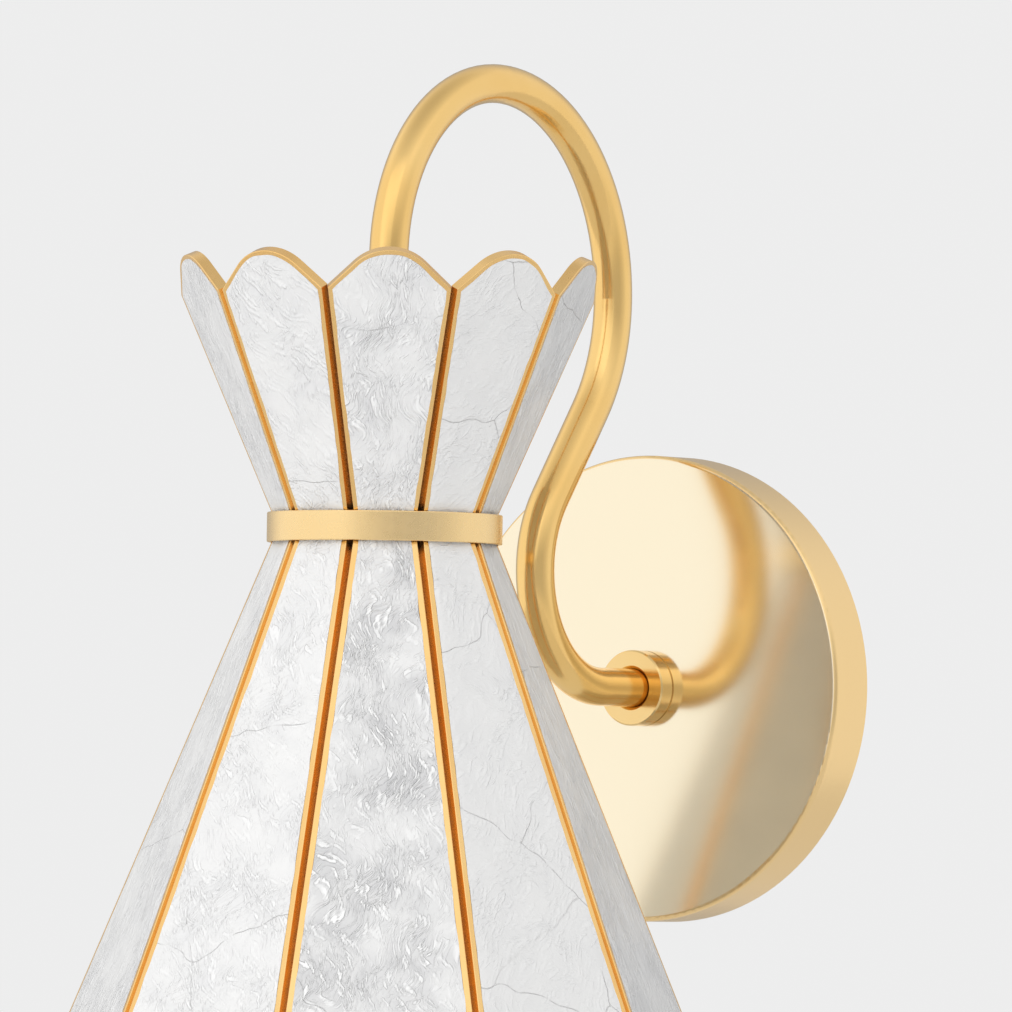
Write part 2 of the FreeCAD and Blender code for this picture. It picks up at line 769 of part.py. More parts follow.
# The screw shell is thin brass rolled into rounded turns that a lamp base fits inside.
SHELL_TOP = f"({CAVITY_TOP} - shell_top_gap)"
THREAD_TOP = f"({SHELL_TOP} - thread_pitch / 2)"
SHELL_IN = "socket_bore / 2"
outer_side = [(f"{SHELL_IN} + socket_foil", SHELL_TOP)]
inner_side = [(SHELL_IN, SHELL_TOP)]
for turn in range(int(number("shell_turns"))):
    for half_turn, bulge in ((0, ""), (1, " + thread_depth")):
        level = f"{THREAD_TOP} - ({turn} + {half_turn} / 2) * thread_pitch"
        outer_side.append((f"{SHELL_IN} + socket_foil{bulge}", level))
        inner_side.append((f"{SHELL_IN}{bulge}", level))
SHELL_LOW = f"{THREAD_TOP} - shell_turns * thread_pitch"
outer_side.append((f"{SHELL_IN} + socket_foil", SHELL_LOW))
inner_side.append((SHELL_IN, SHELL_LOW))
screw_shell = turned("screw_shell", outer_side + inner_side[::-1])
place(screw_shell, y="-arm_reach")
nodes.append(screw_shell)

# A bent brass leaf, flat against the cavity's roof at one end and sprung down at the middle.
contact = new_body("centre_contact")
LEAF_LOW = f"{CAVITY_TOP} - contact_drop"
FOOT_END = "-contact_reach + contact_foot"
leaf = outline(
    new_sketch(contact, "YZ_Plane"),
    (
        ("-contact_reach", CAVITY_TOP),
        ("-contact_reach", f"{CAVITY_TOP} - contact_foil"),
        (FOOT_END, f"{CAVITY_TOP} - contact_foil"),
        (f"{FOOT_END} + contact_ramp", LEAF_LOW),
        ("contact_pad", LEAF_LOW),
        ("contact_pad", f"{LEAF_LOW} + contact_foil"),
        (f"{FOOT_END} + contact_ramp", f"{LEAF_LOW} + contact_foil"),
        (FOOT_END, CAVITY_TOP),
    ),
)
pad(contact, leaf, "contact_width", midplane=True)
place(contact, y="-arm_reach")
nodes.append(contact)

terminals = []
for sign in ("", "-"):
    terminal = turned(
        "terminal",
        (
            ("0", f"{INSULATOR_TOP} - {TERMINAL_DEPTH}"),
            ("terminal_shank / 2", f"{INSULATOR_TOP} - {TERMINAL_DEPTH}"),
            ("terminal_shank / 2", INSULATOR_TOP),
            ("terminal_head / 2", INSULATOR_TOP),
            ("terminal_head / 2", f"{INSULATOR_TOP} + terminal_head_height"),
            ("0", f"{INSULATOR_TOP} + terminal_head_height"),
        ),
    )
    place(terminal, x=f"{sign}terminal_spacing / 2", y="-arm_reach")
    terminals.append(terminal)
nodes.append(group("terminal_screws", terminals))

# ---------------------------------------------------------------- leads through the tube


def path(corners, bend_radius):
    """Straight runs joined by tangent arcs of a list of radii, one for each inner corner."""
    edges = []
    here = corners[0]
    for before, corner, after, radius in zip(corners, corners[1:], corners[2:], bend_radius):
        back = (before - corner).normalize()
        ahead = (after - corner).normalize()
        setback = radius / math.tan(back.getAngle(ahead) / 2)
        start = corner + back * setback
        finish = corner + ahead * setback
        to_middle = (back + ahead).normalize()
        centre_distance = math.hypot(radius, setback)
        middle = corner + to_middle * (centre_distance - radius)
        if (start - here).Length > SAME_PLACE:
            edges.append(Part.LineSegment(here, start).toShape())
        edges.append(Part.Arc(start, middle, finish).toShape())
        here = finish
    edges.append(Part.LineSegment(here, corners[-1]).toShape())
    return Part.Wire(edges)


def flat_to_room(spot, side):
    """A point of the arm's own plane, moved sideways to one of the two leads."""
    return Vector(side * number("lead_spacing") / 2, spot.x, spot.y)


# The leads follow the tube's own bends. Two tangents meet at each corner of this polygon.
rise_angle = Vector(math.sin(lean), math.cos(lean), 0)
top_level = rear_centre.y + rear
shoulder_meet = rise_end + rise_angle * shoulder * math.tan(lean / 2)
bend_corners = (
    Vector(elbow_centre.x - elbow, 0, 0),
    Vector(elbow_centre.x - elbow, elbow + elbow * math.tan(lean / 2), 0),
    shoulder_meet,
    Vector(rear_centre.x + rear, top_level, 0),
    Vector(-number("arm_reach"), top_level, 0),
)
bend_radii = (elbow, elbow, shoulder, rear, front)
lead_bend = number("lead_bend")
splay_bend = number("lead_splay_bend")
exit_y = lead_bend - number("lead_exit") - number(TUBE_START)
splay_level = number(TUBE_END) - splay_bend
lead_end = number("terminal_spacing / 2 - terminal_head / 2 - lead_end_gap")
leads = []
for side in (1, -1):
    corners = [flat_to_room(Vector(exit_y, side * number("lead_tail"), 0), side)]
    corners.append(flat_to_room(Vector(exit_y, 0, 0), side))
    corners.extend(flat_to_room(corner, side) for corner in bend_corners)
    corners.append(flat_to_room(Vector(-number("arm_reach"), splay_level, 0), side))
    corners.append(Vector(side * lead_end, -number("arm_reach"), splay_level))
    radii = (lead_bend, *bend_radii, splay_bend)
    run = path(corners, radii)
    disc = Part.Circle(corners[0], Vector(0, 0, 1), number("lead_diameter / 2")).toShape()
    lead = run.makePipeShell([Part.Wire([disc])], True, False)
    leads.append(lead)
lamp_wires = doc.addObject("Part::Feature", "lamp_wires")
lamp_wires.Label = "lamp_wires"
lamp_wires.Shape = Part.makeCompound(leads)
nodes.append(lamp_wires)

splices = []
for side in (1, -1):
    splice = doc.addObject("Part::Cone", "splice")
    bind(splice, "Radius1", "splice_diameter / 2")
    bind(splice, "Radius2", "splice_tip / 2")
    bind(splice, "Height", "splice_length")
    across = f"{side} * lead_spacing / 2"
    out = f"lead_bend - lead_exit - {TUBE_START}"
    place(splice, x=across, y=out, z=f"{side} * lead_tail", tilt="0" if side > 0 else "180")
    splices.append(splice)
nodes.append(group("wire_connectors", splices))

# ---------------------------------------------------------------- lamp

BULB_TOP = f"({CAVITY_TOP} - contact_drop - bulb_fit)"
BASE_LOW = f"({BULB_TOP} - base_length)"
BULB_CENTRE = f"({BULB_TOP} - bulb_length + bulb_radius)"
NECK_TOP = f"({BASE_LOW} + base_cup_depth - bulb_fit / 2)"


def bulb_side(inset):
    """The glass's profile from neck to pole, drawn in by the wall for the inside."""
    ball = f"(bulb_radius - {inset})"
    neck = f"(bulb_neck_radius - {inset})"
    slope = f"(({ball} * cos(bulb_neck_angle) - {neck}) / sin(bulb_neck_angle))"
    tangent_level = f"({BULB_CENTRE} + {ball} * sin(bulb_neck_angle))"
    return [
        (neck, NECK_TOP),
        (neck, f"{tangent_level} + {slope} * cos(bulb_neck_angle)"),
        (f"{ball} * cos(bulb_neck_angle)", tangent_level),
        (ball, BULB_CENTRE),
        ("0", f"{BULB_CENTRE} - {ball}"),
    ]


GLASS_IN = "(bulb_radius - bulb_glass_wall)"
bulb_glass = turned(
    "bulb_glass",
    bulb_side("0") + bulb_side("bulb_glass_wall")[::-1],
    {2: ("bulb_radius", -1), 3: ("bulb_radius", -1), 5: (GLASS_IN, 1), 6: (GLASS_IN, 1)},
)
place(bulb_glass, y="-arm_reach")
nodes.append(bulb_glass)

BASE_OUT = "base_diameter / 2"
THREAD_START = f"({BULB_TOP} - base_tip_height)"
base_points = [
    ("0", f"{BASE_LOW} + base_cup_depth"),
    ("0", BULB_TOP),
    ("base_tip_radius", BULB_TOP),
    (f"{BASE_OUT} - base_tip_ledge", THREAD_START),
]
for turn in range(int(number("base_turns"))):
    for half_turn, bulge in ((0, " - thread_depth"), (1, "")):
        level = f"{THREAD_START} - base_thread_gap - ({turn} + {half_turn} / 2) * thread_pitch"
        base_points.append((f"{BASE_OUT}{bulge}", level))
base_points += [
    (f"{BASE_OUT} - thread_depth", f"{THREAD_START} - base_thread_gap - base_turns * thread_pitch"),
    (f"{BASE_OUT} - thread_depth / 2", BASE_LOW),
    ("bulb_neck_radius + bulb_fit / 2", BASE_LOW),
    ("bulb_neck_radius + bulb_fit / 2", f"{BASE_LOW} + base_cup_depth"),
]
bulb_base = turned("bulb_base", base_points)
place(bulb_base, y="-arm_reach")
nodes.append(bulb_base)

# ---------------------------------------------------------------- checks and export

doc.recompute()
for thing in doc.Objects:
    if "Invalid" in thing.State or "Error" in thing.State:
        raise RuntimeError(f"{thing.Label} could not be built: {thing.getStatusString()}")
for node in nodes:
    if node.Shape.isNull() or not node.Shape.isValid():
        raise RuntimeError(f"{node.Label} has no sound shape")

os.makedirs("parts", exist_ok=True)
for node in nodes:
    node.Shape.exportStep(f"parts/{node.Label}.step")
print(len(nodes), "sub-parts")
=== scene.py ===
import math

import bpy
from mathutils import Matrix, Vector, noise


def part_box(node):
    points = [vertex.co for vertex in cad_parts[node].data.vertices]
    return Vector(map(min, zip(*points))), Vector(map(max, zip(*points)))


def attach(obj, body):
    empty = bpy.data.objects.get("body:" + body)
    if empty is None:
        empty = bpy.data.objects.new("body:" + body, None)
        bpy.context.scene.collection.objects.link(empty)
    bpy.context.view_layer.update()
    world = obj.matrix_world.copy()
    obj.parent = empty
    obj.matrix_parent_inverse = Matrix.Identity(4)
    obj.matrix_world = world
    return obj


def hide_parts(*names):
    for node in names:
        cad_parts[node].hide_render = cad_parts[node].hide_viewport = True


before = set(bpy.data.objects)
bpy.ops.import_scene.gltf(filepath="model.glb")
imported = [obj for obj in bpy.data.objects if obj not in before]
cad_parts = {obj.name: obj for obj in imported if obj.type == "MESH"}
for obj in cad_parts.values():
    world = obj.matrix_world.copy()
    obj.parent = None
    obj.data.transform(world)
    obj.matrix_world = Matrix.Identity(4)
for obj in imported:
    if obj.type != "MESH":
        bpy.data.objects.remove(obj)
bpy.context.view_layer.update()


# ---- Backplate
# A shallow cup spun from brass sheet and polished to a mirror on its face. Its rim keeps a fine satin.
# Two set screws through the rim hold it to a slotted steel crossbar on the wall.

# The face's tint is paler than the rim's: brass colour with a painted highlight, the washed-out look of the
# bright room that the face mirrors.
PLATE_FACE_TINT_AND_HIGHLIGHT = (0.99, 0.88, 0.66, 1)
PLATE_RIM_TINT = (0.95, 0.68, 0.33, 1)
PLATE_FACE_ROUGHNESS = 0.14
PLATE_RIM_ROUGHNESS = 0.26
SQUARE_TO_ROOM = -0.98
TURNED_AWAY = -0.9


def new_material(name):
    """A material with its node tree and its shader."""
    material = bpy.data.materials.new(name)
    material.use_nodes = True
    return material, material.node_tree, material.node_tree.nodes["Principled BSDF"]


def node(tree, kind, **settings):
    """A shader node with its settings and its inputs by name."""
    made = tree.nodes.new(kind)
    for key, value in settings.items():
        if hasattr(made, key):
            setattr(made, key, value)
        else:
            made.inputs[key.replace("_", " ")].default_value = value
    return made


def feed(tree, socket, value):
    """Join a link or a constant to a socket."""
    if isinstance(value, bpy.types.NodeSocket):
        tree.links.new(value, socket)
    else:
        socket.default_value = value


def combine(tree, first, second, operation="ADD"):
    """Arithmetic on two values."""
    made = node(tree, "ShaderNodeMath", operation=operation)
    feed(tree, made.inputs[0], first)
    feed(tree, made.inputs[1], second)
    return made.outputs["Value"]


def spread(tree, value, low, high, start=0.3, stop=0.7):
    """A value that goes from low to high while the one given goes from start to stop."""
    mapped = node(tree, "ShaderNodeMapRange")
    limits = {"From Min": start, "From Max": stop, "To Min": low, "To Max": high, "Value": value}
    for name, limit in limits.items():
        feed(tree, mapped.inputs[name], limit)
    return mapped.outputs["Result"]


def blend_colours(tree, amount, first, second):
    """Two colours mixed by a value."""
    mix = node(tree, "ShaderNodeMix", data_type="RGBA")
    feed(tree, mix.inputs["Factor"], amount)
    feed(tree, mix.inputs[6], first)
    feed(tree, mix.inputs[7], second)
    return mix.outputs[2]


def turned_and_scaled(tree, vector, factors, turn):
    """A place turned about Z, then multiplied along each axis."""
    shaped = node(tree, "ShaderNodeMapping", vector_type="TEXTURE", Rotation=(0, 0, turn))
    shaped.inputs["Scale"].default_value = [1 / factor for factor in factors]
    tree.links.new(vector, shaped.inputs["Vector"])
    return shaped.outputs["Vector"]


def grain(tree, scale, factors=(1, 1, 1), turn=0.0, detail=3.0, vector=None):
    """Noise fixed to the piece, with scale waves to a metre, times a factor along each axis."""
    if vector is None:
        vector = node(tree, "ShaderNodeTexCoord").outputs["Object"]
    pattern = node(tree, "ShaderNodeTexNoise", Scale=scale, Detail=detail)
    tree.links.new(turned_and_scaled(tree, vector, factors, turn), pattern.inputs["Vector"])
    return pattern.outputs["Fac"]


def clouded(name, light, dark, scale, roughness, detail=3.0, metallic=0.0):
    """A material that drifts between two tones. Its roughness is one value, or drifts between two."""
    material, tree, shader = new_material(name)
    shader.inputs["Metallic"].default_value = metallic
    drift = spread(tree, grain(tree, scale, detail=detail), 0, 1)
    tree.links.new(blend_colours(tree, drift, light, dark), shader.inputs["Base Color"])
    if isinstance(roughness, tuple):
        roughness = spread(tree, drift, *roughness, start=0, stop=1)
    feed(tree, shader.inputs["Roughness"], roughness)
    return material


def finish_with(material, *names):
    """Give CAD pieces a material."""
    for name in names:
        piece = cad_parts[name]
        if not piece.data.materials:
            piece.data.materials.append(None)
        for slot in piece.material_slots:
            slot.link = "OBJECT"
            slot.material = material


def plate_finish():
    """Mirror polish on what lies square to the room, and satin on the rim, which turns away from it. The face
    is also tinted paler than the rim: a painted highlight of the bright room it mirrors.
    """
    material, tree, shader = new_material("mirror_brass_plate")
    shader.inputs["Metallic"].default_value = 1.0
    split = node(tree, "ShaderNodeSeparateXYZ")
    tree.links.new(node(tree, "ShaderNodeNewGeometry").outputs["Normal"], split.inputs["Vector"])
    on_face = spread(tree, split.outputs["Y"], 1, 0, SQUARE_TO_ROOM, TURNED_AWAY)
    tone = blend_colours(tree, on_face, PLATE_RIM_TINT, PLATE_FACE_TINT_AND_HIGHLIGHT)
    polish = spread(tree, on_face, PLATE_RIM_ROUGHNESS, PLATE_FACE_ROUGHNESS, 0, 1)
    tree.links.new(tone, shader.inputs["Base Color"])
    tree.links.new(polish, shader.inputs["Roughness"])
    return material


zinc = clouded(
    "zinc_plated_steel",
    light=(0.55, 0.56, 0.57, 1),
    dark=(0.70, 0.70, 0.68, 1),
    scale=90,
    roughness=(0.3, 0.42),
    detail=5,
    metallic=1.0,
)
green_dip = clouded(
    "green_dipped_screw", light=(0.03, 0.20, 0.06, 1), dark=(0.05, 0.28, 0.09, 1), scale=300, roughness=0.35
)
finish_with(plate_finish(), "backplate")
finish_with(zinc, "wall_bracket", "plate_screws")
finish_with(green_dip, "ground_screw")


# ---- Arm
# One brass tube, bent and rubbed to a soft satin. It passes through a turned boss and the plate, and a
# washer and a thin nut clamp all three from behind. Two leads run through it from the lamp holder to
# their splices behind the plate.

# Colour, reach and shares of painted shade: brass is painted darker where it closes into a gap or seam.
PAINTED_SEAM_SHADE = (0.10, 0.06, 0.04, 1)
GAP_REACH = 0.004
GAP_SHARE = 0.4
SEAM_SHARE = 0.07
RUBBING = 0.15
PORES = 1800
PORE_DEPTH = 0.00001


def raise_surface(tree, height, depth):
    """A bump whose height of 1 stands a real depth, in metres."""
    bump = node(tree, "ShaderNodeBump", Distance=depth, Strength=1.0)
    tree.links.new(height, bump.inputs["Height"])
    tree.links.new(bump.outputs["Normal"], tree.nodes["Principled BSDF"].inputs["Normal"])


def brass(name, tint, deep_tint, roughness, satin=0.0, crevice_shade=None):
    """Brass whose tone drifts a little, rubbed to a roughness. satin is the depth of its brushing. Where less
    than GAP_SHARE of the air around is open it is painted darker, to the crevice colour, and near black in
    the closest gaps: painted shade."""
    material, tree, shader = new_material(name)
    shader.inputs["Metallic"].default_value = 1.0
    tone = blend_colours(tree, spread(tree, grain(tree, 28), 0, 1), tint, deep_tint)
    # Painted shade in hollows and seams, placed by how much air around is open.
    if crevice_shade:
        nearby = node(tree, "ShaderNodeAmbientOcclusion", samples=16, Distance=GAP_REACH)
        for share, shadow in ((GAP_SHARE, crevice_shade), (SEAM_SHARE, PAINTED_SEAM_SHADE)):
            opened = spread(tree, nearby.outputs["AO"], 0, 1, start=0.0, stop=share)
            tone = blend_colours(tree, opened, shadow, tone)
    tree.links.new(tone, shader.inputs["Base Color"])
    rubbed = grain(tree, 420, detail=4)
    rough = spread(tree, rubbed, roughness * (1 - RUBBING), roughness * (1 + RUBBING))
    tree.links.new(rough, shader.inputs["Roughness"])
    if satin:
        raise_surface(tree, grain(tree, 2600, detail=2), satin)
    return material


def plain(name, light, dark, roughness, scale=160):
    """A moulded or fired material, mottled very slightly, with fine pores."""
    material = clouded(name, light, dark, scale, roughness)
    raise_surface(material.node_tree, grain(material.node_tree, PORES), PORE_DEPTH)
    return material


satin_brass = brass(
    "satin_brass", tint=(0.97, 0.66, 0.26, 1), deep_tint=(0.93, 0.60, 0.21, 1), roughness=0.18, satin=0.000002
)
# Its crevice colour is painted shade, darker where the boss meets the plate.
turned_brass = brass(
    "turned_brass",
    tint=(0.95, 0.70, 0.34, 1),
    deep_tint=(0.90, 0.62, 0.26, 1),
    roughness=0.14,
    crevice_shade=(0.35, 0.18, 0.05, 1),
)
nut_brass = brass(
    "plain_nut_brass", tint=(0.80, 0.58, 0.28, 1), deep_tint=(0.70, 0.49, 0.22, 1), roughness=0.3
)
insulation = plain("lead_insulation", (0.78, 0.77, 0.73, 1), (0.70, 0.69, 0.65, 1), roughness=0.45)
splice_cap = plain("splice_cap", (0.72, 0.20, 0.03, 1), (0.62, 0.16, 0.02, 1), roughness=0.4)
finish_with(satin_brass, "arm")
finish_with(turned_brass, "arm_boss")
finish_with(nut_brass, "arm_lock_nut")
finish_with(zinc, "arm_washer")
finish_with(insulation, "lamp_wires")
finish_with(splice_cap, "wire_connectors")


# ---- Panel frames
# Each panel has its own frame, folded from brass strip: a flat lip in front, a side wall about three
# millimetres deep and a lip behind. Neighbouring frames are joined along their back edges.

PANELS = [f"{number:02d}" for number in range(1, 11)]
# Its crevice colour is a duller tone painted in the gaps between neighbouring frames, near black in the
# seams: painted shade.
folded_brass = brass(
    "folded_brass",
    tint=(0.98, 0.66, 0.28, 1),
    deep_tint=(0.93, 0.58, 0.22, 1),
    roughness=0.26,
    crevice_shade=(0.80, 0.64, 0.48, 1),
)
for panel in PANELS:
    finish_with(folded_brass, f"crown_frame_{panel}", f"skirt_frame_{panel}")


# ---- Shell sheets
# Thin natural shell, split and laid up in overlapping leaves: milky and pearly, with creased fibres and
# hairline seams. A sheet fills the groove of its frame, and its uneven face laps a little over the lip
# in front. An inset is measured inwards from the frame's outline, and a height from the frame's front.

SCONCE = "sconce"
SHADE_AXIS = (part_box("waist_band")[0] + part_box("waist_band")[1]) / 2
FACET = 2 * math.pi / len(PANELS)
WAIST_RADIUS = 0.0286
WAIST_APOTHEM = WAIST_RADIUS * math.cos(FACET / 2)
WAIST_GAP = 0.0003
SEAM_GAP = 0.00005
FRAME_DEPTH = 0.003
CROWN_LEAN = math.radians(22.4)
CROWN_SIDE = 0.0659
SCALLOP_RADIUS = 0.0132
SKIRT_LEAN = math.radians(21.4)
SKIRT_LENGTH = 0.1795

GROOVE_INSET = 0.0009
WINDOW_INSET = 0.00175
CROWN_LAP_INSET = 0.00112
SKIRT_LAP_INSET = 0.00155
SHEET_BACK = -0.0021
SHEET_FRONT = -0.0009
LAP_UNDERSIDE = 0.00002
FACE_HEIGHT = 0.00022
EDGE_SHARE = 0.4
EDGE_CELLS = 3
RELIEF = 0.0001
RAGGED_EDGE = 0.00025
GRID = 0.0011
FEWEST_COLUMNS = 8

WAVES_ACROSS = 4
WAVES_ALONG = 200
WAVE_SEED = 3.7
FOLDS = 60
FINE_FOLDS = 4.1
FINE_OFFSET = Vector((3, 0, 0))
FOLD_SEED = 7.3
PATTERN_STEP = (0.173, 0.311)
CREASE_ANGLE = math.radians(40)


def half_width(run, lean):
    """Half a frame's width at a distance along its slope from the waist."""
    out = WAIST_APOTHEM + run * math.sin(lean) - FRAME_DEPTH * math.cos(lean)
    return out * math.tan(FACET / 2) - SEAM_GAP


def crown_top(across, inset):
    """How far up its slope a crown sheet reaches, at a distance from its middle. Above its shoulders it
    slants in at 45 degrees and ends in an arc."""
    shoulder = half_width(CROWN_SIDE, CROWN_LEAN)
    flank = CROWN_SIDE + shoulder - abs(across) - inset * math.sqrt(2)
    arc_centre = CROWN_SIDE + shoulder - SCALLOP_RADIUS * math.sqrt(2)
    radius = SCALLOP_RADIUS - inset
    arc = arc_centre + math.sqrt(max(radius**2 - across**2, 0))
    return flank if abs(across) > radius / math.sqrt(2) else arc


def skirt_top(across, inset):
    """How far down its slope a skirt sheet reaches. Its end is straight, so across makes no difference."""
    return SKIRT_LENGTH - inset


def flat_grid(lean, direction, top_of, columns, rows, seed, inset, ragged=0.0):
    """Points spread over a frame's outline drawn in by inset: width along X, slope along Y."""
    side_slant = math.atan(math.sin(lean) * math.tan(FACET / 2))
    points = []
    for row in range(rows + 1):
        for column in range(columns + 1):
            part = 2 * column / columns - 1
            place = Vector((part * WAVES_ACROSS, row * GRID * WAVES_ALONG, seed * WAVE_SEED))
            drawn_in = inset + ragged * noise.noise(place)
            side_inset = drawn_in / math.cos(side_slant)
            foot = WAIST_GAP + drawn_in
            top = top_of(part * (half_width(CROWN_SIDE, lean) - side_inset), drawn_in)
            reach = foot + (top - foot) * row / rows
            side = half_width(min(reach, CROWN_SIDE) if direction > 0 else reach, lean) - side_inset
            points.append((part * side, direction * reach))
    return points


def uneven_face(outline, columns, rows, seed):
    """The front of a sheet: proud of the frame, with faint folds, and lower along its edge."""
    points = []
    for index, (x, y) in enumerate(outline):
        row, column = divmod(index, columns + 1)
        place = Vector((x, y, 0)) * FOLDS + Vector((0, 0, seed * FOLD_SEED))
        folds = noise.noise(place) + 0.5 * noise.noise(place * FINE_FOLDS + FINE_OFFSET)
        inward = min(row, rows - row, column, columns - column, EDGE_CELLS) / EDGE_CELLS
        swell = EDGE_SHARE + (1 - EDGE_SHARE) * inward
        points.append((x, y, FACE_HEIGHT * swell + RELIEF * folds * inward))
    return points


def border(columns, rows):
    """The numbers of a grid's outermost points, in order around it."""
    across = columns + 1
    around = list(range(across))
    around += [row * across + columns for row in range(1, rows + 1)]
    around += [rows * across + column for column in range(columns - 1, -1, -1)]
    around += [row * across for row in range(rows - 1, 0, -1)]
    return around


def stitched(front, behind):
    """Faces that join two closed rings of points."""
    faces = []
    for place in range(len(front)):
        after = (place + 1) % len(front)
        faces.append((front[after], front[place], behind[place], behind[after]))
    return faces


def sheet_mesh(name, lean, direction, top_of, lap_inset, seed):
    """A closed sheet. From the edge of its face it steps in under the lap, back through the window, out
    into the groove and back to its rear."""
    length = top_of(0, lap_inset)
    columns = max(FEWEST_COLUMNS, round(2 * half_width(length, lean) / GRID))
    rows = round(length / GRID)
    across = columns + 1
    panel_grid = (lean, direction, top_of, columns, rows, seed)
    lap = flat_grid(*panel_grid, lap_inset, RAGGED_EDGE)
    window = flat_grid(*panel_grid, WINDOW_INSET)
    groove = flat_grid(*panel_grid, GROOVE_INSET)
    points = uneven_face(lap, columns, rows, seed)
    back_start = len(points)
    points += [(x, y, SHEET_BACK) for x, y in groove]
    faces = []
    for row in range(rows):
        for column in range(columns):
            corner = row * across + column
            quad = (corner, corner + 1, corner + across + 1, corner + across)
            faces.append(quad)
            faces.append(tuple(back_start + point for point in reversed(quad)))
    rim = border(columns, rows)
    edge = rim
    steps = ((lap, LAP_UNDERSIDE), (window, LAP_UNDERSIDE), (window, SHEET_FRONT), (groove, SHEET_FRONT))
    for outline, height in steps:
        start = len(points)
        points += [(*outline[point], height) for point in rim]
        ring = range(start, start + len(rim))
        faces += stitched(edge, ring)
        edge = ring
    faces += stitched(edge, [back_start + point for point in rim])
    if direction < 0:
        faces = [tuple(reversed(corners)) for corners in faces]
    mesh = bpy.data.meshes.new(name)
    mesh.from_pydata(points, [], faces)
    layer = mesh.uv_layers.new(name="slope")
    for loop in mesh.loops:
        x, y, z = points[loop.vertex_index]
        layer.data[loop.index].uv = (x + seed * PATTERN_STEP[0], y + seed * PATTERN_STEP[1])
    mesh.polygons.foreach_set("use_smooth", [True] * len(mesh.polygons))
    mesh.set_sharp_from_angle(angle=CREASE_ANGLE)
    return mesh


# The grain of the shell. Counts are to a metre.
WIDE_SWIRLS = 45
FINE_SWIRLS = 220
FINE_SWIRL_SHARE = 12
CLOUDS = (140, 90, 1)
FIBRES = 600
CREST_WIDTH = 0.05
PATCHES = 55
LARGE_STROKES = 820
SMALL_STROKES = 1600
SMALL_STROKE_TURN = 0.7
SMALL_STROKE_SHARE = 0.7
SEAM_WIDTH = 0.00012
RELIEF_OF_GRAIN = 0.00042
PEARL = (0.88, 0.878, 0.87, 1)
MILK = (0.93, 0.925, 0.915, 1)
# White laid on the raised strokes: partly the shell's own white fibres and partly a painted highlight on the
# crests.
CREST_WHITE_AND_HIGHLIGHT = (1, 1, 0.995, 1)
SEAM_GREY = (0.42, 0.40, 0.38, 1)


def pushed(tree, vector, scale, reach):
    """A vector moved about by noise, so that what is drawn with it swirls."""
    swirl = node(tree, "ShaderNodeTexNoise", Scale=scale, Detail=2.0)
    tree.links.new(vector, swirl.inputs["Vector"])
    centred = node(tree, "ShaderNodeVectorMath", operation="SUBTRACT")
    tree.links.new(swirl.outputs["Color"], centred.inputs[0])
    centred.inputs[1].default_value = (0.5, 0.5, 0.5)
    moved = node(tree, "ShaderNodeVectorMath", operation="MULTIPLY_ADD")
    tree.links.new(centred.outputs[0], moved.inputs[0])
    moved.inputs[1].default_value = (reach, reach, 0)
    tree.links.new(vector, moved.inputs[2])
    return moved.outputs[0]


def crest(tree, value, width):
    """Thin winding lines, where a noise passes through its middle."""
    off = combine(tree, combine(tree, value, 0.5, "SUBTRACT"), 0.0, "ABSOLUTE")
    return spread(tree, off, 1, 0, 0.0, width)


def strokes(tree, flow, turn, across, stretch):
    """Short raised strokes lying side by side, some higher than others."""
    cells = node(tree, "ShaderNodeTexVoronoi", feature="SMOOTH_F1", voronoi_dimensions="2D", Scale=1)
    cells.inputs["Smoothness"].default_value = 0.25
    laid = turned_and_scaled(tree, flow, (across, across / stretch, 1), turn)
    tree.links.new(laid, cells.inputs["Vector"])
    split = node(tree, "ShaderNodeSeparateXYZ")
    tree.links.new(cells.outputs["Color"], split.inputs["Vector"])
    ridge = spread(tree, cells.outputs["Distance"], 1, 0, 0.0, 0.8)
    return combine(tree, ridge, split.outputs["X"], "MULTIPLY")


def hairlines(tree, flow, clouds, spacing):
    """Thin seams between the leaves, spacing metres apart, that fade in and out with the clouds."""
    leaves = node(tree, "ShaderNodeTexVoronoi", feature="DISTANCE_TO_EDGE", Scale=1 / spacing)
    tree.links.new(flow, leaves.inputs["Vector"])
    line = spread(tree, leaves.outputs["Distance"], 1, 0, 0.0, SEAM_WIDTH / spacing)
    return combine(tree, line, spread(tree, clouds, 0.2, 1, 0.4, 0.55), "MULTIPLY")


